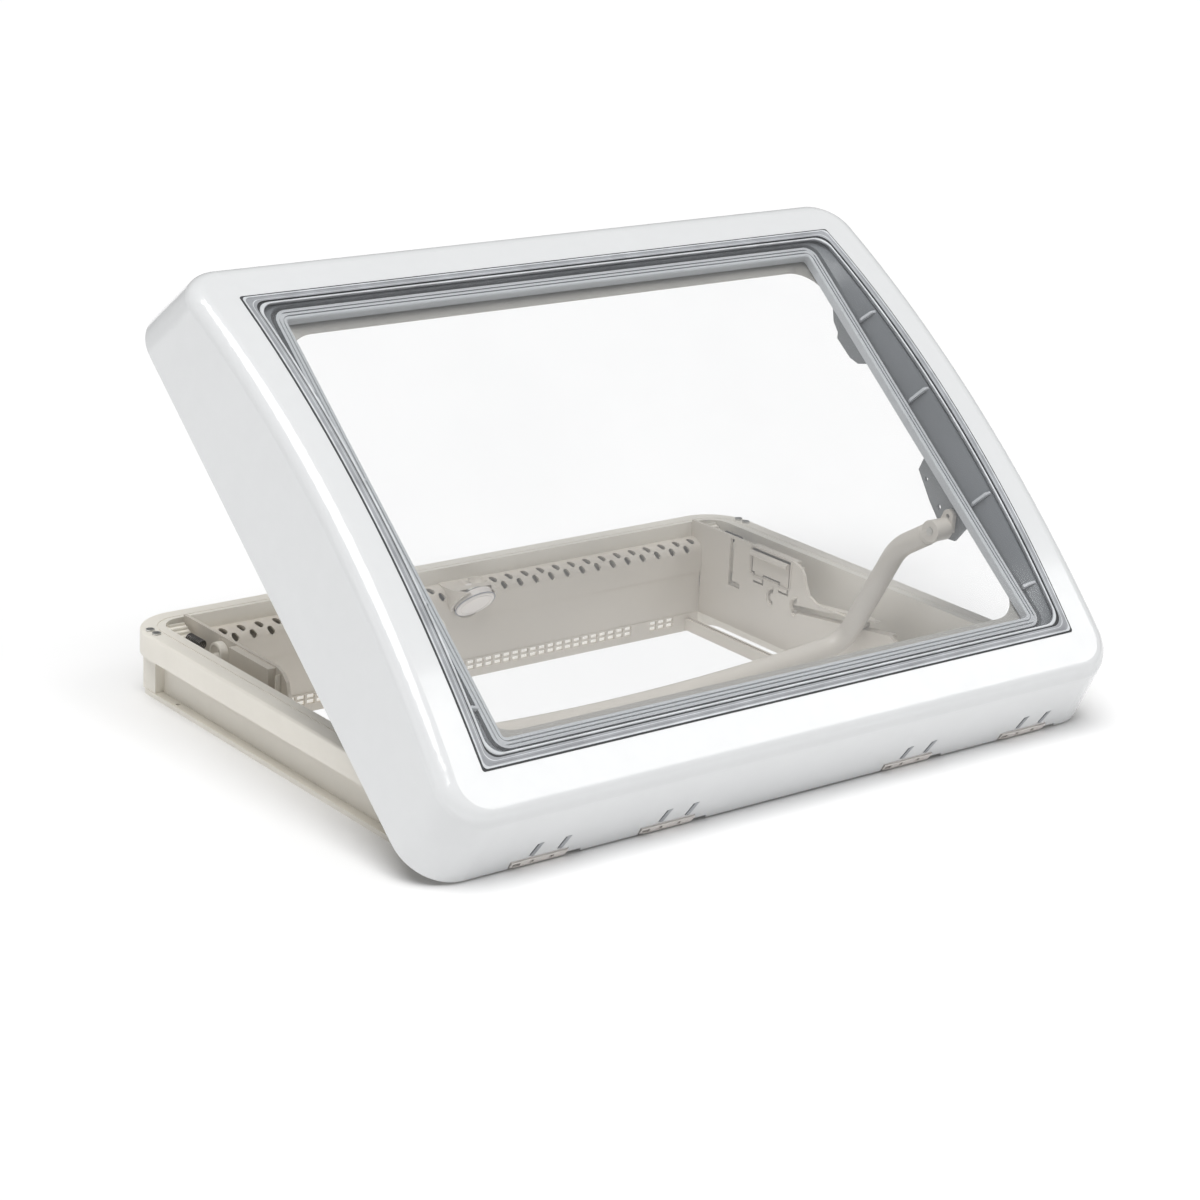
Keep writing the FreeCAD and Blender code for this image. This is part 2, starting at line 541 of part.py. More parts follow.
def glazing():
    outer, inner = (size("window_half_x"), size("window_half_y")), (size("pane_half_x"), size("pane_half_y"))
    clear = (size("clear_half_x"), size("clear_half_y"))
    ring_z, ring_top = size("ring_z"), size("ring_z") + size("ring_height")

    def layer(upper, lower, half, radius):
        slab = arched(upper, 330, 20, "slab").cut(arched(lower, 340, 10, "below"))
        return slab.common(rounded_prism(half[0], half[1], radius, 60, 140))
    gasket = layer(0.8, -5.5, outer, 6).cut(rounded_prism(inner[0], inner[1], 10, 50, 150))
    node(hood_part(gasket, "outer_gasket"), "outer_gasket")
    node(hood_part(layer(-0.6, -4.6, inner, 10), "outer_pane"), "outer_pane")
    bar_top = size("bar_top")
    slope_foot = clear[0] + size("bar_width") + 1
    flange = rounded_prism(376, 273, 32, ring_z, ring_top)
    block = rounded_prism(inner[0], inner[1], 10, ring_z, 140).common(arched(-4.6, 330, 20, "under_pane"))
    above = Part.Face(Part.makePolygon([App.Vector(x, -clear[1] - 12, z) for x, z in (
        (-slope_foot, bar_top), (slope_foot, bar_top), (inner[0] - 2, 112), (inner[0] - 2, 130),
        (2 - inner[0], 130), (2 - inner[0], 112), (-slope_foot, bar_top))]))
    block = block.cut(above.extrude(App.Vector(0, 2 * clear[1] + 24, 0)))
    groove = rounded_prism(slope_foot, clear[1] + 13, 15, bar_top - 3, bar_top + 2).cut(
        rounded_prism(slope_foot - 2, clear[1] + 11, 13, bar_top - 4, bar_top + 3))
    profile = flange.fuse(block).removeSplitter().cut(groove)
    profile = profile.cut(rounded_prism(clear[0], clear[1], 4, ring_z - 1, 120))
    fins = []
    for y in (-194, -94, 34, 137):
        for side in (-1, 1):
            fin = Part.Face(Part.makePolygon([App.Vector(side * x, y, z) for x, z in (
                (slope_foot - 2, bar_top - 0.5), (slope_foot + 11, 110), (slope_foot + 4, 110),
                (slope_foot - 2, bar_top + 5), (slope_foot - 2, bar_top - 0.5))]))
            fins.append(fin.extrude(App.Vector(0, 2.5, 0)).common(arched(-4.8, 330, 20, "under_pane")))
    node(hood_part(profile.fuse(fins).removeSplitter(), "inner_profile"), "inner_profile")
    pane = rounded_prism(clear[0] + 14, clear[1] + 9, 14, ring_z - 2, ring_z)
    node(hood_part(pane, "inner_pane"), "inner_pane")
    edge = rounded_prism(clear[0] + 18, clear[1] + 13, 18, ring_z - 3.6, ring_z).cut(
        rounded_prism(clear[0] + 14, clear[1] + 9, 14, ring_z - 2, ring_z + 1)).cut(
        rounded_prism(clear[0] + 7, clear[1] - 10, 34, ring_z - 5, ring_z - 1))
    node(hood_part(edge, "inner_gasket"), "inner_gasket")
    seal = rounded_prism(360.5, 262.5, 30, size("band_top") + 0.5, ring_z).cut(
        rounded_prism(354.5, 257, 24, size("band_top") - 1, ring_z + 1))
    node(hood_part(seal, "rim_seal"), "rim_seal")


def shut(u, w):
    """Place on the shut hood from the distance behind its front edge and the height over its rim."""
    return (u - size("hood_half_y"), w + size("rim_z"))


def hood_brackets():
    bottom = size("ring_z") - 3.6
    turn = math.radians(-size("open_angle"))
    dy, dz = size("pivot_y") - size("hinge_y"), size("pivot_z") - size("hinge_z")
    pivot = (size("hinge_y") + dy * math.cos(turn) - dz * math.sin(turn),
             size("hinge_z") + dy * math.sin(turn) + dz * math.cos(turn))

    def flat(x, points, thick, holes):
        corners = [App.Vector(x, *p) for p in points]
        made = Part.Face(Part.makePolygon(corners + corners[:1])).extrude(App.Vector(thick, 0, 0))
        for (y, z), radius in holes:
            bore = Part.makeCylinder(radius, thick + 2, App.Vector(x - 1, y, z), App.Vector(1, 0, 0))
            made = made.cut(bore)
        return made
    arm = flat(322.9, [(pivot[0] - 13, bottom), (pivot[0] - 13, pivot[1] - 6), (pivot[0] - 6, pivot[1] - 12),
                (pivot[0] + 8, pivot[1] - 12), shut(250, 38), shut(283, 48), shut(286, 60), (-20, bottom)], 3,
               [(pivot, size("rod_radius")), (shut(269, 50), 2.2), (shut(238, 45), 2.5)])
    hook = flat(333, [(98, size("ring_z")), (104, 58), (112, 48), (124, 43), (150, 42), (154, 47), (166, 50),
                      (178, 60), (184, size("ring_z"))], 3, [])
    rod_shape = Part.makeCylinder(size("rod_radius"), 53, App.Vector(293, *pivot), App.Vector(1, 0, 0))
    for label, shape in (("pivot_bracket", arm), ("catch_bracket", hook), ("pivot_rod", rod_shape)):
        for side in ("right", "left"):
            placed = shape if side == "right" else shape.mirror(App.Vector(), App.Vector(1, 0, 0))
            node(hood_part(placed, f"{side}_{label}"), f"{side}_{label}")


def hinges():
    y, z, front, rim = size("hinge_y"), size("hinge_z"), -size("hood_half_y"), size("rim_z")
    pin, barrel, gap = size("pin_radius"), size("barrel_radius"), size("running_gap")
    along, pins = App.Vector(1, 0, 0), []
    for number, x in enumerate(HINGE_X, start=1):
        clip = Part.makeBox(60, 9, 9, App.Vector(x - 30, front + 0.6, rim - 0.5))
        pockets = [Part.makeBox(9, 6, 5, App.Vector(x - 28, front, rim + 1.5)),
                   Part.makeBox(4, 4, 4.5, App.Vector(x - 9, front, rim + 2)),
                   Part.makeBox(4, 4, 4.5, App.Vector(x + 12, front, rim + 2)),
                   Part.makeBox(3, 4, 1.5, App.Vector(x - 5, front, rim + 5)),
                   Part.makeBox(3, 4, 1.5, App.Vector(x + 16, front, rim + 5))]
        bow_cut = Part.Face(Part.makePolygon([App.Vector(px, front - 1, pz) for px, pz in (
            (x - 31, rim + 2.5), (x - 31, rim - 2), (x - 20, rim - 2), (x - 31, rim + 2.5))]))
        pockets.append(bow_cut.extrude(App.Vector(0, 12, 0)))
        profile = Part.Face(Part.makePolygon([App.Vector(x - 9, *p) for p in (
            (front + 7.5, rim), (front + 10.5, rim), (y + 2, z), (y - 2, z + 1), (front + 11, rim + 20),
            (front + 7.5, rim + 8.5), (front + 7.5, rim))]))
        web = profile.extrude(along * 18)
        knuckle = Part.makeCylinder(barrel, 18, App.Vector(x - 9, y, z), along)
        arm = clip.cut(pockets).fuse([web, knuckle]).removeSplitter().cut(
            Part.makeCylinder(pin + gap, 30, App.Vector(x - 15, y, z), along))
        node(hood_part(arm, f"hinge_arm_{number}"), f"hinge_arm_{number}")
        band_face = -size("band_half_y")
        plate_part = Part.makeBox(52, 2.5, 19, App.Vector(x - 26, band_face - 2.5, 48.5))
        ears = [Part.makeCylinder(barrel, 9, App.Vector(x + start, y, z), along) for start in (-19, 10)]
        webs = [Part.makeBox(9, band_face - y, 2 * barrel, App.Vector(x + start, y, z - barrel))
                for start in (-19, 10)]
        relief = Part.makeCylinder(barrel + 0.6, 20, App.Vector(x - 10, y, z), along).fuse(
            Part.makeBox(20, 16, 23, App.Vector(x - 10, band_face - 8, z - 17)))
        bracket = plate_part.fuse(ears + webs).removeSplitter().cut(relief).cut(
            Part.makeCylinder(pin, 60, App.Vector(x - 30, y, z), along))
        node(shaped(bracket, f"hinge_bracket_{number}"), f"hinge_bracket_{number}")
        pins.append(Part.makeCylinder(pin, 40, App.Vector(x - 20, y, z), along))
    node(shaped(Part.makeCompound(pins), "hinge_pins"), "hinge_pins")


# ---------------------------------------------------------------- bow lever, as it stands when the hood is up
def rounded_path(points, radii):
    """Straight runs joined by tangent arcs."""
    edges, start = [], points[0]
    for before, here, after, radius in zip(points, points[1:], points[2:], radii):
        into = (here - before).normalize()
        away = (after - here).normalize()
        half_turn = into.getAngle(away) / 2
        reach = radius * math.tan(half_turn)
        first, last = here - into * reach, here + away * reach
        inside = (away - into).normalize()
        middle = here + inside * (radius / math.cos(half_turn) - radius)
        edges += [Part.makeLine(start, first), Part.Arc(first, middle, last).toShape()]
        start = last
    return Part.Wire(edges + [Part.makeLine(start, points[-1])])


def bow_points():
    x = size("bow_x")
    pivot = App.Vector(x, size("pivot_y"), size("pivot_z"))
    bend, corner = App.Vector(x, -80, 138.2), App.Vector(x, -10.5, 14.3)
    start = pivot + (bend - pivot).normalize() * 16
    sag = App.Vector(0, corner.y, corner.z) + (corner - bend).normalize() * 46
    right = [start, bend, corner]
    return right + [sag] + [App.Vector(-p.x, p.y, p.z) for p in reversed(right)]


def bow_parts():
    points = bow_points()
    path = rounded_path(points, [60, 26, 1850, 26, 60])
    radius = size("bow_radius")
    ring = Part.Wire(Part.makeCircle(radius, points[0], points[1] - points[0]))
    tube = path.makePipeShell([ring], True, False)
    drawn = abs(tube.Volume / (math.pi * radius ** 2 * path.Length) - 1)
    if drawn > 0.01:
        raise RuntimeError(f"the bow's volume is off by {drawn:.3f}")
    node(shaped(tube, "bow_tube"), "bow_tube")
    pivot = App.Vector(size("bow_x"), size("pivot_y"), size("pivot_z"))
    toward = (points[0] - pivot).normalize()
    eye = Part.makeCylinder(11, 20, pivot - App.Vector(10, 0, 0), App.Vector(1, 0, 0))
    socket = Part.makeCylinder(10.5, (points[0] - pivot).Length, pivot, toward)
    bore = Part.makeCylinder(size("rod_radius") + size("running_gap"), 40, pivot - App.Vector(20, 0, 0),
                             App.Vector(1, 0, 0))
    tip = pivot + App.Vector(0, -3.3, 13.5)
    rise = (tip - pivot).normalize()
    side = App.Vector(0, -rise.z, rise.y)
    web = Part.Face(Part.makePolygon([p for p in (
        pivot - side * 10, tip - side * 7, tip + side * 7, pivot + side * 10, pivot - side * 10)]))
    blade = web.extrude(App.Vector(5, 0, 0)).fuse(Part.makeCylinder(7, 5, tip, App.Vector(1, 0, 0)))
    blade.translate(App.Vector(9.5, 0, 0))
    end = eye.fuse([socket, blade]).removeSplitter().cut(bore).cut(
        Part.makeCylinder(2.6, 30, tip, App.Vector(1, 0, 0)))
    guide = Part.makeCylinder(size("guide_radius"), 12, App.Vector(314.2, size("guide_y"), size("guide_z")),
                              App.Vector(1, 0, 0))
    guide = guide.cut(tube)
    for label, shape in (("bow_end", end), ("guide_pin", guide)):
        right = shaped(shape, f"right_{label}")
        node(right, f"right_{label}")
        mirrored(right, f"left_{label}")


# ---------------------------------------------------------------- build, check and write
def check_and_write():
    doc.recompute()
    bad = [o.Label for o in doc.Objects if "Invalid" in o.State or "Error" in o.State]
    if bad:
        raise RuntimeError(f"failed objects: {bad}")
    os.makedirs("parts", exist_ok=True)
    for item in nodes:
        shape = item.Shape
        if shape.isNull() or not shape.isValid():
            raise RuntimeError(f"bad shape: {item.Label}")
        shape.exportStep(f"parts/{item.Label}.step")
        print(f"{item.Label}: {len(shape.Solids)} solids, {shape.Volume / 1000:.1f} cm3")


fill_sheet()
base_frame()
rim_screws()
cheek_panels()
latch_parts()
vent_parts()
knob_parts()
lower_liners()
hood_shell()
glazing()
hood_brackets()
hinges()
bow_parts()
check_and_write()
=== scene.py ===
import math
import bmesh
import bpy
from mathutils import Matrix, Vector


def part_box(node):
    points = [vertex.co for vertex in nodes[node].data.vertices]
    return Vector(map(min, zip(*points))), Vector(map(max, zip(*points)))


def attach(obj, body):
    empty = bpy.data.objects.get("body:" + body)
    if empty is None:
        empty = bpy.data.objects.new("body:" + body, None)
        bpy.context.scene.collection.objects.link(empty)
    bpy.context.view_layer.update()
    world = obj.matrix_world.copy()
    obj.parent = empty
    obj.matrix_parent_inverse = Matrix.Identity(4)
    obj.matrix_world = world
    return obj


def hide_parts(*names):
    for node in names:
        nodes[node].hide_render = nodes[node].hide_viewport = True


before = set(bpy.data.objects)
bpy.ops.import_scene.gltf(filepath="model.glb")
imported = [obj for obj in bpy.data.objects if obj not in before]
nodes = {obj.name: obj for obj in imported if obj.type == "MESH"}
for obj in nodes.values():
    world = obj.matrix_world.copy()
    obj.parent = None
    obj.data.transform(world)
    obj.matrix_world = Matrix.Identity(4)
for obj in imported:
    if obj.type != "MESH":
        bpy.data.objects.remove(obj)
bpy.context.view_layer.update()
mm = 0.001
print("frame loaded:", len(nodes), "nodes")


# shader helpers
class Sock:
    # wraps a socket so that shader maths reads as plain maths
    def __init__(self, shader, link):
        self.shader, self.link = shader, link

    def maths(self, operation, *values):
        return self.shader.add("ShaderNodeMath", {"operation": operation}, list(values))

    def __add__(self, other):
        return self.maths("ADD", self, other)

    def __radd__(self, other):
        return self.maths("ADD", other, self)

    def __mul__(self, other):
        return self.maths("MULTIPLY", self, other)

    def __rmul__(self, other):
        return self.maths("MULTIPLY", other, self)


class Shader:
    def __init__(self, name):
        self.material = bpy.data.materials.new(name)
        self.material.use_nodes = True
        self.tree = self.material.node_tree
        self.tree.nodes.clear()
        self.surface = self.tree.nodes.new("ShaderNodeBsdfPrincipled")
        self.output = self.tree.nodes.new("ShaderNodeOutputMaterial")
        self.tree.links.new(self.surface.outputs[0], self.output.inputs[0])
        self.place = self.add("ShaderNodeTexCoord", out="Object")

    def feed(self, socket, value):
        if isinstance(value, Sock):
            self.tree.links.new(value.link, socket)
        elif hasattr(socket.default_value, "__len__") and not hasattr(value, "__len__"):
            socket.default_value = [value] * len(socket.default_value)
        elif hasattr(value, "__len__") and len(socket.default_value) == 4 and len(value) == 3:
            socket.default_value = (*value, 1)
        else:
            socket.default_value = value

    def add(self, kind, settings=None, inputs=None, out=0):
        node = self.tree.nodes.new(kind)
        for key, value in (settings or {}).items():
            if key == "stops":
                ramp = node.color_ramp
                while len(ramp.elements) < len(value):
                    ramp.elements.new(0.5)
                for element, (at, shade) in zip(ramp.elements, value):
                    element.position = at
                    element.color = (*shade, 1) if hasattr(shade, "__len__") else (shade, shade, shade, 1)
            else:
                setattr(node, key, value)
        if isinstance(inputs, dict):
            for key, value in inputs.items():
                self.feed(node.inputs[key], value)
        else:
            for slot, value in enumerate(inputs or []):
                self.feed(node.inputs[slot], value)
        return Sock(self, node.outputs[out])

    def noise(self, scale, detail=4, rough=0.5, where=None):
        return self.add("ShaderNodeTexNoise", {}, {"Vector": where or self.place, "Scale": scale,
                                                   "Detail": detail, "Roughness": rough})

    def spread(self, value, low, high):
        # stretches a noise around its middle to run from low to high
        return self.add("ShaderNodeMapRange", {}, {"Value": value, "From Min": 0.3, "From Max": 0.7,
                                                   "To Min": low, "To Max": high})

    def mix(self, factor, first, second):
        node = self.tree.nodes.new("ShaderNodeMix")
        node.data_type = "RGBA"
        self.feed(node.inputs[0], factor)
        self.feed(node.inputs[6], first)
        self.feed(node.inputs[7], second)
        return Sock(self, node.outputs[2])

    def bump(self, height, strength, distance):
        return self.add("ShaderNodeBump", {}, {"Height": height, "Strength": strength,
                                               "Distance": distance})

    def finish(self, **sockets):
        for name, value in sockets.items():
            self.feed(self.surface.inputs[name.replace("_", " ")], value)
        return self.material


def tint(colour, factor):
    return tuple(min(1, c * factor) for c in colour)


def plastic(name, colour, rough=0.35, grain=900, grainDepth=0.00004, coat=0.0, mottle=0.03, specular=0.5):
    # moulded plastic: faint flow mottling, fine spark-eroded grain, dust in the hollows of the noise
    s = Shader(name)
    cloud = s.noise(9, 3)
    fine = s.noise(grain, 2)
    streak = s.noise(55, 5, 0.6)
    base = s.mix(s.spread(cloud, 0, 1), tint(colour, 1 - mottle), tint(colour, 1 + mottle))
    base = s.mix(s.spread(streak, 0, 0.25), base, tint(colour, 0.93))
    normal = s.bump(fine + 0.6 * streak, 0.35, grainDepth)
    s.finish(Coat_Weight=coat, Coat_Roughness=0.06, Specular_IOR_Level=specular)
    return s.finish(Base_Color=base, Roughness=s.spread(streak, rough - 0.05, rough + 0.07), Normal=normal)


def rubber(name, colour, rough=0.6):
    s = Shader(name)
    bloom = s.noise(30, 6, 0.65)
    fine = s.noise(1400, 2)
    base = s.mix(s.spread(bloom, 0, 1), tint(colour, 0.85), tint(colour, 1.2))
    return s.finish(Base_Color=base, Roughness=s.spread(bloom, rough - 0.08, rough + 0.08),
                    Normal=s.bump(fine, 0.4, 0.00005))


def steel(name, colour, rough=0.3):
    # zinc plated: brushed along, with spangle
    s = Shader(name)
    stretched = s.add("ShaderNodeVectorMath", {"operation": "MULTIPLY"}, [s.place, (40, 900, 900)])
    brush = s.noise(1, 3, 0.6, stretched)
    cloud = s.noise(60, 4)
    base = s.mix(s.spread(cloud, 0, 1), tint(colour, 0.82), tint(colour, 1.08))
    return s.finish(Base_Color=base, Metallic=1.0, Roughness=s.spread(brush, rough - 0.08, rough + 0.12),
                    Normal=s.bump(brush, 0.25, 0.00003))


def clearPane(name, colour, alpha, rough=0.03):
    s = Shader(name)
    haze = s.noise(5, 4, 0.6)
    wipe = s.noise(26, 3)
    s.finish(IOR=1.49, Specular_IOR_Level=0.6)
    return s.finish(Base_Color=colour, Alpha=s.spread(haze, alpha * 0.8, alpha * 1.25),
                    Roughness=s.spread(wipe, rough, rough + 0.05))


finishes = {
    "hood": dict(colour=(0.755, 0.765, 0.772), rough=0.16, grain=260, grainDepth=0.00002, coat=0.7,
                 mottle=0.008),
    "cream": dict(colour=(0.86, 0.825, 0.75), rough=0.42),
    # the inside cream is the frame's cream made darker, as painted shade for the hollow of the frame
    "inside": dict(colour=(0.67, 0.625, 0.555), rough=0.45),
    "bow": dict(colour=(0.60, 0.565, 0.51), rough=0.36),
    "hinge": dict(colour=(0.84, 0.80, 0.765), rough=0.4),
    "bracket": dict(colour=(0.205, 0.22, 0.23), rough=0.4),
    "channel": dict(colour=(0.165, 0.178, 0.19), rough=0.45),
    "bar": dict(colour=(0.50, 0.52, 0.54), rough=0.35),
    "warm": dict(colour=(0.43, 0.42, 0.39), rough=0.4),
}
hoodWhite = plastic("hoodWhite", **finishes["hood"])
cream = plastic("mouldedCream", **finishes["cream"])
shadedInsideCream = plastic("shadedInsideCream", **finishes["inside"])
bowCream = plastic("bowCream", **finishes["bow"])
hingeCream = plastic("hingeCream", **finishes["hinge"])
bracketGrey = plastic("bracketGrey", **finishes["bracket"])
channelGrey = plastic("channelGrey", **finishes["channel"])
barGrey = plastic("barGrey", **finishes["bar"])
warmGrey = plastic("warmGrey", **finishes["warm"])
gasketDark = rubber("gasketDark", (0.045, 0.047, 0.05))
gasketMid = rubber("gasketMid", (0.33, 0.34, 0.36), 0.45)
gasketLight = rubber("gasketLight", (0.62, 0.64, 0.66), 0.4)
platedSteel = steel("platedSteel", (0.62, 0.62, 0.60))
darkSteel = steel("darkSteel", (0.16, 0.155, 0.15), 0.35)
outerClear = clearPane("outerClear", (0.60, 0.61, 0.63), 0.06)
innerClear = clearPane("innerClear", (0.60, 0.61, 0.62), 0.035)
print("materials made")


def dress(material, *names):
    for name in names:
        node = nodes[name]
        node.data.materials.clear()
        node.data.materials.append(material)


def pairs(*stems):
    return [f"{side}_{stem}" for stem in stems for side in ("right", "left")]


dress(hoodWhite, "hood_shell")
dress(cream, "base_frame")
# the inside walls take the darker cream, painted shade for the hollow of the frame
dress(shadedInsideCream, "rear_vent_housing", "rear_inner_wall", "rear_vent_grille", "front_inner_wall",
      *pairs("cheek_panel", "blind_rail", "latch_housing", "latch_flap"))
dress(bowCream, "bow_tube", *pairs("bow_end", "guide_pin"))
dress(hingeCream, "push_knob", *[f"hinge_{part}_{n}" for part in ("arm", "bracket") for n in (1, 2, 3, 4)])
dress(bracketGrey, *pairs("pivot_bracket", "catch_bracket"))
dress(platedSteel, "rim_screws", "hinge_pins", "knob_spring", *pairs("flap_pins", "pivot_rod"))
dress(gasketDark, "rim_seal")
dress(warmGrey, "inner_gasket")
dress(channelGrey, "inner_profile")
dress(outerClear, "outer_pane")
dress(innerClear, "inner_pane")


def newPiece(name, data, body, materials):
    # a mesh piece, smooth but for edges over 32 degrees, that rides on a body
    piece = bpy.data.objects.new(name, data)
    bpy.context.scene.collection.objects.link(piece)
    for material in materials:
        data.materials.append(material)
    data.shade_smooth()
    data.set_sharp_from_angle(angle=math.radians(32))
    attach(piece, body)
    return piece


hood = {"hingeY": -0.283, "hingeZ": 0.058, "open": math.radians(39), "bulge": 0.024, "crown": 0.114,
        "windowY": 0.253}
swing = (Matrix.Translation((0, hood["hingeY"], hood["hingeZ"])) @ Matrix.Rotation(hood["open"], 4, "X")
         @ Matrix.Translation((0, -hood["hingeY"], -hood["hingeZ"])))


def crownZ(y, offset=0.0):
    # height of the hood's arched top over the shut frame
    radius = (hood["windowY"] ** 2 + hood["bulge"] ** 2) / (2 * hood["bulge"])
    return hood["crown"] - radius + math.sqrt((radius + offset) ** 2 - y * y)


def roundedRing(hx, hy, radius, sideSteps=28, cornerSteps=7):
    # points of a rounded rectangle, the same count whatever its size
    points = []
    centres = [(hx - radius, hy - radius), (radius - hx, hy - radius),
               (radius - hx, radius - hy), (hx - radius, radius - hy)]
    for turn, (cx, cy) in enumerate(centres):
        for step in range(cornerSteps + 1):
            angle = math.pi / 2 * (turn + step / cornerSteps)
            points.append((cx + radius * math.cos(angle), cy + radius * math.sin(angle)))
        here, after = points[-1], centres[(turn + 1) % 4]
        turned = math.pi / 2 * (turn + 1)
        there = (after[0] + radius * math.cos(turned), after[1] + radius * math.sin(turned))
        for step in range(1, sideSteps):
            share = step / sideSteps
            points.append((here[0] + (there[0] - here[0]) * share, here[1] + (there[1] - here[1]) * share))
    return points


def bridge(mesh, first, second, kind=0):
    # a band of faces between two closed loops of equal count
    for step in range(len(first)):
        after = (step + 1) % len(first)
        face = mesh.faces.new([first[step], first[after], second[after], second[step]])
        face.material_index = kind


def keptMesh(name, mesh, matrix=None):
    if matrix:
        mesh.transform(matrix)
    data = bpy.data.meshes.new(name)
    mesh.to_mesh(data)
    mesh.free()
    return data


def loftRings(name, rings, kinds, matrix):
    # joins rings of equal count into a closed tube; kinds gives each band's material
    mesh = bmesh.new()
    loops = [[mesh.verts.new(p) for p in ring] for ring in rings]
    for number, kind in enumerate(kinds):
        bridge(mesh, loops[number], loops[(number + 1) % len(loops)], kind)
    bmesh.ops.recalc_face_normals(mesh, faces=mesh.faces)
    return keptMesh(name, mesh, matrix)


# window gasket: ribbed strip between the hood and the outer pane
gasket = {"outer": (0.351, 0.253), "corner": 2.5, "cornerGrowth": 1.1,
          # inset, height over the crown, band material that follows (0 dark, 1 mid, 2 light)
          "profile": ((0.0, -4.0, 0), (0.0, 0.5, 0), (0.5, 0.9, 0), (1.5, 0.9, 2), (2.0, 1.1, 2),
                      (3.0, 0.9, 1), (3.5, 0.35, 1), (4.6, 0.35, 1), (5.1, 0.8, 1), (6.6, 0.8, 2),
                      (7.1, 0.8, 1), (8.9, 0.8, 0), (9.3, -0.2, 0), (10.5, -0.2, 2), (10.9, 0.5, 2),
                      (12.0, 0.6, 2), (12.5, 0.3, 1), (12.8, -0.6, 1), (11.2, -0.62, 1), (11.1, -4.0, 1))}


def windowGasket():
    rings = []
    for inset, lift, _ in gasket["profile"]:
        hx, hy = (side - inset * mm for side in gasket["outer"])
        radius = (gasket["corner"] + inset * gasket["cornerGrowth"]) * mm
        rings.append([(x, y, crownZ(y, lift * mm)) for x, y in roundedRing(hx, hy, radius)])
    data = loftRings("windowGasket", rings, [kind for _, _, kind in gasket["profile"]], swing)
    piece = newPiece("windowGasket", data, "hood", (gasketDark, gasketMid, gasketLight))
    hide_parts("outer_gasket")


windowGasket()


# inner window frame: sloped walls at the sides, a groove, and a ribbed bar around the clear opening
bar = {"clear": (0.313, 0.225), "top": 0.0865, "under": 0.077, "ribY": (-0.194, -0.094, 0.034, 0.137),
       "ribHalf": 0.0015}


def innerFrame():
    hx, hy, top, under = *bar["clear"], bar["top"], bar["under"]

    def outline(sides, ends, radius):
        # a ring at a distance in mm outside the clear opening
        return roundedRing(hx + sides * mm, hy + ends * mm, radius * mm)

    def flat(sides, ends, radius, z):
        return [(x, y, z) for x, y in outline(sides, ends, radius)]

    def domed(sides, ends, radius, lift):
        return [(x, y, crownZ(y, lift * mm)) for x, y in outline(sides, ends, radius)]

    rings = [flat(63, 48, 32, under), flat(63, 48, 32, under + 0.004), flat(27, 17, 10, under + 0.004),
             domed(27, 17, 10, -4.8), domed(25.5, 15.5, 9, -4.8), flat(15.6, 14.4, 16, top + 0.0004),
             flat(14.6, 13.6, 15.5, top - 0.0034), flat(11.4, 11.4, 14, top - 0.0034),
             flat(10.8, 10.8, 13.5, top)]
    kinds = [0, 0, 0, 0, 0, 0, 2, 0]
    for edge in (8.0, 4.4):
        rings += [flat(edge, edge, 7 + edge * 0.5, top), flat(edge - 0.3, edge - 0.3, 7, top - 0.0008),
                  flat(edge - 1.0, edge - 1.0, 6.5, top - 0.0008), flat(edge - 1.3, edge - 1.3, 6, top)]
        kinds += [1, 0, 0, 1]
    rings += [flat(0.9, 0.9, 4.5, top), flat(0, 0, 4, top - 0.0009), flat(0, 0, 4, under)]
    kinds += [1, 1, 1, 0]
    data = loftRings("windowFrame", rings, kinds, swing)
    piece = newPiece("windowFrame", data, "hood", (channelGrey, barGrey, gasketDark))
    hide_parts("inner_profile")


def windowRibs():
    # cross ribs that stiffen the sloped walls
    hx, top = bar["clear"][0], bar["top"]
    mesh = bmesh.new()
    for y in bar["ribY"]:
        for side in (-1, 1):
            profile = [(hx + 13.6 * mm, top - 0.001), (hx + 25.6 * mm, crownZ(y, -5 * mm)),
                       (hx + 19 * mm, crownZ(y, -6 * mm)), (hx + 11.5 * mm, top + 0.004)]
            low, high = ([mesh.verts.new((side * x, y + shift, z)) for x, z in profile]
                         for shift in (-bar["ribHalf"], bar["ribHalf"]))
            mesh.faces.new(low)
            mesh.faces.new(high)
            bridge(mesh, low, high)
    bmesh.ops.recalc_face_normals(mesh, faces=mesh.faces)
    bmesh.ops.bevel(mesh, geom=mesh.edges[:], offset=0.0004, segments=2, affect="EDGES")
    ribs = newPiece("windowRibs", keptMesh("windowRibs", mesh, swing), "hood", (barGrey,))


innerFrame()
windowRibs()
print("window trim made")


# small trim on the frame and the hood
def solid(name, profile, low, high, axis="x", bevel=0.0005):
    # a flat outline drawn across one axis, made thick from low to high along it, with eased edges
    place = {"x": lambda a, b, t: (t, a, b), "y": lambda a, b, t: (a, t, b)}[axis]
    mesh = bmesh.new()
    ends = [[mesh.verts.new(place(a * mm, b * mm, t * mm)) for a, b in profile] for t in (low, high)]
    for end in ends:
        mesh.faces.new(end)
    bridge(mesh, *ends)
    bmesh.ops.recalc_face_normals(mesh, faces=mesh.faces)
    bmesh.ops.bevel(mesh, geom=mesh.edges[:], offset=bevel, segments=2, affect="EDGES", clamp_overlap=True)
    return keptMesh(name, mesh)


def merged(name, parts, matrix=None):
    # several loose solids as the one mesh of a piece
    mesh = bmesh.new()
    for part in parts:
        mesh.from_mesh(part)
        bpy.data.meshes.remove(part)
    return keptMesh(name, mesh, matrix)


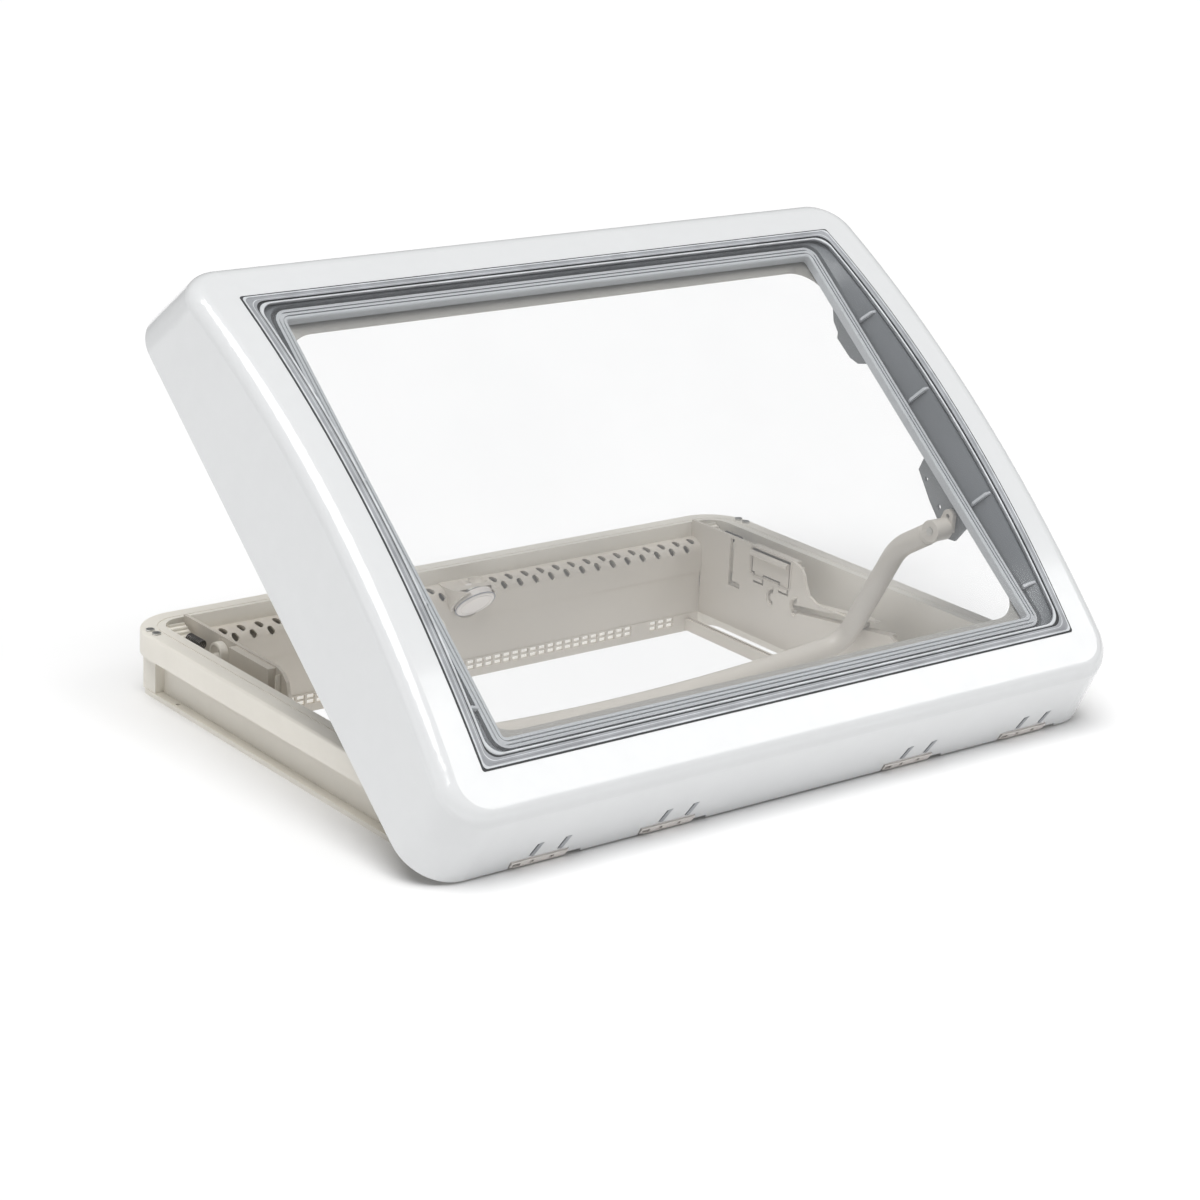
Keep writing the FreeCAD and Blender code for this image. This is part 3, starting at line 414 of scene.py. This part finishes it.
def wire(name, points, radius, body, material, closed=False):
    # a bent wire or bead of round section
    curve = bpy.data.curves.new(name, "CURVE")
    curve.dimensions, curve.bevel_depth, curve.bevel_resolution = "3D", radius * mm, 4
    curve.use_fill_caps = True
    spline = curve.splines.new("POLY")
    spline.points.add(len(points) - 1)
    for point, place in zip(spline.points, points):
        point.co = (*(value * mm for value in place), 1)
    spline.use_cyclic_u = closed
    curve.materials.append(material)
    piece = bpy.data.objects.new(name, curve)
    bpy.context.scene.collection.objects.link(piece)
    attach(piece, body)


corner = {"springAt": (336, 62), "springY": (196, 221), "springRadius": 4.6, "turns": 9, "wire": 0.75,
          "block": (325, 345), "blockY": (228, 250), "blockTop": (57, 66), "blockFoot": 50, "flatTop": 4,
          "ribs": 4, "ribHalf": 0.9, "ribProud": 2.4, "ribInset": 1, "root": 2,
          "archAt": (182, 57), "archHalf": 11, "wall": 3, "lobe": 4.5, "lobeDrop": 4, "foot": 30,
          "cheek": 321.6, "archOut": 330.4, "lobeOut": 331.8, "webY": (79, 81.5), "webTop": (68, 66),
          "webOut": 327}


def halfRound(y, z, radius, steps):
    # points of a half circle over a centre, from the rear to the front
    return [(y + radius * math.cos(math.pi * step / steps), z + radius * math.sin(math.pi * step / steps))
            for step in range(steps + 1)]


def cornerSpring(side, name):
    x, z = corner["springAt"]
    low, high = corner["springY"]
    radius, steps = corner["springRadius"], corner["turns"] * 16
    coil = [(side * (x + radius * math.cos(step * math.pi / 8)), low + (high - low) * step / steps,
             z + radius * math.sin(step * math.pi / 8)) for step in range(steps + 1)]
    wire(f"{name}CornerSpring", coil, corner["wire"], "frame", darkSteel)


def ribbedStop(side):
    # block with a sloped top that turns level at the rear, and ribs that stand proud of the slope
    inside, outside = sorted(side * value for value in corner["block"])
    (front, rear), (low, top), foot = corner["blockY"], corner["blockTop"], corner["blockFoot"]
    root, half, inset = corner["root"], corner["ribHalf"], corner["ribInset"]
    slopeEnd = rear - corner["flatTop"]
    parts = [solid("stop", [(front, foot), (rear, foot), (rear, top), (slopeEnd, top), (front, low)],
                   inside, outside)]
    for rib in range(corner["ribs"]):
        y = front + root + (slopeEnd - root - front) * rib / (corner["ribs"] - 1)
        lift = low + (y - front) * (top - low) / (slopeEnd - front) + corner["ribProud"]
        outline = [(y - half, foot + root), (y + half, foot + root), (y + half, lift), (y - half, lift)]
        parts.append(solid("rib", outline, inside + inset, outside - inset))
    return parts


def fromCheek(side, name, profile, out):
    # a flat shape standing off the outer face of a cheek
    near, far = sorted((side * corner["cheek"], side * out))
    return solid(name, profile, near, far)


def cornerTrim(side, name):
    # ribbed stop, arched guide and web in the rear corner, between the cheek and the outer wall
    (y, z), half, wall, foot = corner["archAt"], corner["archHalf"], corner["wall"], corner["foot"]
    core = half - wall
    arch = [(y + half, foot), *halfRound(y, z, half, 12), (y - half, foot), (y - core, foot),
            *reversed(halfRound(y, z, core, 12)), (y + core, foot)]
    lobeHalf, lobeZ, lobeFoot = corner["lobe"], z - corner["lobeDrop"], foot + corner["root"]
    lobe = [(y + lobeHalf, lobeFoot), *halfRound(y, lobeZ, lobeHalf, 8), (y - lobeHalf, lobeFoot)]
    (webFront, webRear), (frontTop, rearTop) = corner["webY"], corner["webTop"]
    web = [(webFront, foot), (webRear, foot), (webRear, rearTop), (webFront, frontTop)]
    parts = ribbedStop(side) + [fromCheek(side, "arch", arch, corner["archOut"]),
                                fromCheek(side, "lobe", lobe, corner["lobeOut"]),
                                fromCheek(side, "web", web, corner["webOut"])]
    piece = newPiece(f"{name}CornerTrim", merged("cornerTrim", parts), "frame", (cream,))


for side, name in ((-1, "left"), (1, "right")):
    cornerSpring(side, name)
    cornerTrim(side, name)

hinge = {"at": (-283, -141.8, 148.7, 301.9), "front": -308, "rim": 6, "face": (-0.3, 1.2),
         "floor": (1.6, 3.4), "lowBar": ((-22, -0.5), (30, -0.5), (30, 1.6), (-29.5, 1.6)),
         "topBar": (-30, 30, 6.4, 8.5), "uprightZ": (1.5, 6.5),
         # start, end, low and high of each pocket, from the clip's middle and the rim
         "pockets": ((-27.8, -19.2, 1.7, 6.3), (-8.8, -5.2, 2.2, 6.3), (12.2, 15.8, 2.2, 6.3)),
         "uprights": ((-30, -28), (-19, -9), (-5, 12), (16, 30)),
         "slotAt": (-11.4, 18.6), "slotLow": 11.6, "slotHigh": 26.2, "slotWidth": 4.6, "slotSteps": 6}


def upright(x, start, end, low, high):
    # a four-cornered outline on the skirt, over the rim beside a hinge
    rim = hinge["rim"]
    return [(x + start, rim + low), (x + end, rim + low), (x + end, rim + high), (x + start, rim + high)]


def clipPocketShade():
    # dark plates sunk in the three pockets of each hinge clip, painted shade for the hollow of each pocket
    near, far = (hinge["front"] + depth for depth in hinge["floor"])
    parts = [solid("pocket", upright(x, *pocket), near, far, "y", 0.0002)
             for x in hinge["at"] for pocket in hinge["pockets"]]
    piece = newPiece("clipPocketShade", merged("clipPocketShade", parts, swing), "hood", (gasketDark,))


def clipFaces():
    # raised face of each hinge clip, framing its three pockets
    near, far = (hinge["front"] + depth for depth in hinge["face"])
    parts = []
    for x in hinge["at"]:
        bars = [[(x + along, hinge["rim"] + lift) for along, lift in hinge["lowBar"]],
                upright(x, *hinge["topBar"])]
        bars += [upright(x, *ends, *hinge["uprightZ"]) for ends in hinge["uprights"]]
        parts += [solid("bar", outline, near, far, "y", 0.0002) for outline in bars]
    piece = newPiece("clipFaces", merged("clipFaces", parts, swing), "hood", (hingeCream,))


def skirtDepth(x, z):
    # where the hood's front skirt lies at a height over the shut frame, clear of the hinge's own slots
    probe = swing @ Vector(((x - 40) * mm, -0.36, z * mm))
    inward = (swing.to_3x3() @ Vector((0, 1, 0))).normalized()
    hit, place, _, _ = nodes["hood_shell"].ray_cast(probe, inward)
    return (swing.inverted() @ place).y - 0.0002 if hit else -0.3


def slotShadeInlays():
    # grey inlays over the two louvre slots above each hinge clip, laid on the skirt's own surface as
    # painted shade for the slots' insides
    mesh = bmesh.new()
    wide, thick, steps = hinge["slotWidth"], 0.003, hinge["slotSteps"]
    for x in hinge["at"]:
        for start in hinge["slotAt"]:
            rows = []
            for step in range(steps + 1):
                z = hinge["rim"] + hinge["slotLow"] + (hinge["slotHigh"] - hinge["slotLow"]) * step / steps
                left = x + start + wide * step / steps
                depth = skirtDepth(x, z)
                across = ((left, thick), (left, 0), (left + wide, 0), (left + wide, thick))
                rows.append([mesh.verts.new((a * mm, depth + sink, z * mm)) for a, sink in across])
            for low, high in zip(rows, rows[1:]):
                bridge(mesh, low, high)
            mesh.faces.new(rows[0])
            mesh.faces.new(rows[-1])
    bmesh.ops.recalc_face_normals(mesh, faces=mesh.faces)
    piece = newPiece("slotShadeInlays", keptMesh("slotShadeInlays", mesh, swing), "hood", (gasketMid,))


clipPocketShade()
clipFaces()
slotShadeInlays()


# the mesh's glow is painted light, for light that comes in under the grille
vent = {"aside": 4, "edge": 3, "behind": (0.3, 0.9), "dim": (0.86, 0.85, 0.82), "pale": (0.95, 0.95, 0.93),
        "glow": 0.4}


def ventMesh():
    # pale insect mesh behind the windows of the low grille, with a painted glow that stands for light
    # coming in through it from below
    (left, _, foot), (right, back, top) = ([v / mm for v in end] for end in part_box("rear_vent_grille"))
    left, right = left + vent["aside"], right - vent["aside"]
    foot, top = foot + vent["edge"], top - vent["edge"]
    profile = [(left, foot), (right, foot), (right, top), (left, top)]
    s = Shader("ventMesh")
    weave = s.noise(1800, 2)
    pale = s.finish(Base_Color=s.mix(s.spread(weave, 0, 1), vent["dim"], vent["pale"]), Roughness=0.7,
                    Emission_Color=(1, 0.98, 0.94), Emission_Strength=vent["glow"])
    near, far = (back + depth for depth in vent["behind"])
    sheet = newPiece("ventMesh", solid("ventMesh", profile, near, far, "y", 0.0001), "frame", (pale,))


ventMesh()

knob = {"tilt": math.radians(41.5), "faceY": 222, "faceZ": 37, "lipRadius": 17.5, "lipSink": 0.1,
        "lipWire": 1.0, "gapRadius": 22.3, "gapSink": 1.5, "gapWire": 0.6}


def knobRing(name, part, body, material):
    # a ring round the push knob's face, sunk along its axis
    low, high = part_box("push_knob")
    inward = Vector((0, math.cos(knob["tilt"]), math.sin(knob["tilt"])))
    aside = Vector((1, 0, 0))
    upward = inward.cross(aside)
    middle = Vector(((low[0] + high[0]) / 2 / mm, knob["faceY"], knob["faceZ"]))
    middle += inward * knob[f"{part}Sink"]
    turns = [math.pi * step / 24 for step in range(48)]
    points = [tuple(middle + (aside * math.cos(turn) + upward * math.sin(turn)) * knob[f"{part}Radius"])
              for turn in turns]
    wire(name, points, knob[f"{part}Wire"], body, material, closed=True)


knobRing("knobLip", "lip", "knob", hingeCream)
# the grey ring in the gap round the knob's cup is painted shade for that gap
knobRing("cupGapShade", "gap", "frame", gasketMid)

latch = {"face": 317.6, "bead": 0.8, "window": ((156, 72), (156, 43), (154, 40), (90, 40), (90, 70)),
         "hookY": (78, 116), "hookZ": 24, "hookRadius": 11}


def latchBeads(side, name):
    # moulded beads round the latch window and the hooked slots of a cheek
    x, radius = side * latch["face"], latch["hookRadius"]
    window = [(x, y, z) for y, z in latch["window"]]
    wire(f"{name}LatchBead", window, latch["bead"], "frame", shadedInsideCream)
    for number, centre in enumerate(latch["hookY"], start=1):
        turns = [math.radians(angle) for angle in range(-80, 91, 10)]
        hook = [(x, centre + radius * math.cos(turn), latch["hookZ"] + radius * math.sin(turn))
                for turn in turns]
        wire(f"{name}HookBead{number}", hook, latch["bead"], "frame", shadedInsideCream)


for side, name in ((-1, "left"), (1, "right")):
    latchBeads(side, name)
print("small trim made")


# stage
studio = {"world": 0.27, "floorGlow": 0.03, "floorHalf": 24.0, "cutOut": (0.35, 0.25),
          "boardGlow": 0.82, "boardHalf": 2.0, "boardZ": -0.6,
          "suns": (("keyLamp", (-0.22, -0.2, 0.95), 2.62, 46), ("sheenLamp", (0.6, -0.52, 0.62), 0.34, 24),
                   ("leftLamp", (-1.0, 0.0, 0.1), 0.16, 40))}


def roofBoard():
    # pale floor at the flange, cut out for the frame's neck, and a lit board under the opening
    mesh = bmesh.new()
    far = studio["floorHalf"]
    rings = [[mesh.verts.new((sx * x, sy * y, 0)) for sx, sy in ((1, 1), (-1, 1), (-1, -1), (1, -1))]
             for x, y in ((far, far), studio["cutOut"])]
    bridge(mesh, *rings)
    floor = bpy.data.objects.new("floor", keptMesh("floor", mesh))
    bpy.context.scene.collection.objects.link(floor)
    s = Shader("paleFloor")
    floor.data.materials.append(s.finish(Base_Color=(0.9, 0.9, 0.9), Roughness=0.8,
                                         Emission_Color=(1, 1, 1), Emission_Strength=studio["floorGlow"]))
    mesh = bmesh.new()
    bmesh.ops.create_grid(mesh, x_segments=1, y_segments=1, size=studio["boardHalf"])
    board = bpy.data.objects.new("lightBoard", keptMesh("lightBoard", mesh))
    board.location = (0, 0, studio["boardZ"])
    bpy.context.scene.collection.objects.link(board)
    glow = Shader("boardGlow")
    board.data.materials.append(glow.finish(Base_Color=(0.2, 0.2, 0.2), Emission_Color=(1, 1, 1),
                                            Emission_Strength=studio["boardGlow"]))


def softSun(name, toward, strength, spread):
    lamp = bpy.data.lights.new(name, "SUN")
    lamp.energy, lamp.angle = strength, math.radians(spread)
    holder = bpy.data.objects.new(name, lamp)
    holder.rotation_euler = (-Vector(toward)).to_track_quat("-Z", "Y").to_euler()
    bpy.context.scene.collection.objects.link(holder)


def studioLight():
    world = bpy.data.worlds.new("studio")
    bpy.context.scene.world = world
    world.use_nodes = True
    back = world.node_tree.nodes["Background"]
    back.inputs[0].default_value = (1, 1, 1, 1)
    back.inputs[1].default_value = studio["world"]
    for name, toward, strength, spread in studio["suns"]:
        softSun(name, toward, strength, spread)


view = {"azimuth": -38.85, "elevation": 18.725, "roll": 3.059, "lens": 89.85, "distance": 2.9261,
        "aside": -0.003395, "above": 0.10367}


def placeCamera():
    az, el, roll = (math.radians(view[k]) for k in ("azimuth", "elevation", "roll"))
    back = Vector((math.sin(az) * math.cos(el), -math.cos(az) * math.cos(el), math.sin(el)))
    right = Vector((math.cos(az), math.sin(az), 0))
    up = back.cross(right)
    across = right * math.cos(roll) + up * math.sin(roll)
    rise = up * math.cos(roll) - right * math.sin(roll)
    lens = bpy.data.cameras.new("camera")
    lens.lens, lens.sensor_width = view["lens"], 36
    lens.clip_start, lens.clip_end = 0.05, 60
    holder = bpy.data.objects.new("camera", lens)
    place = back * view["distance"] + across * view["aside"] + rise * view["above"]
    holder.matrix_world = Matrix((across, rise, back)).transposed().to_4x4()
    holder.location = place
    bpy.context.scene.collection.objects.link(holder)
    bpy.context.scene.camera = holder


roofBoard()
studioLight()
placeCamera()
bpy.context.scene.view_settings.view_transform = "Standard"
print("stage set")
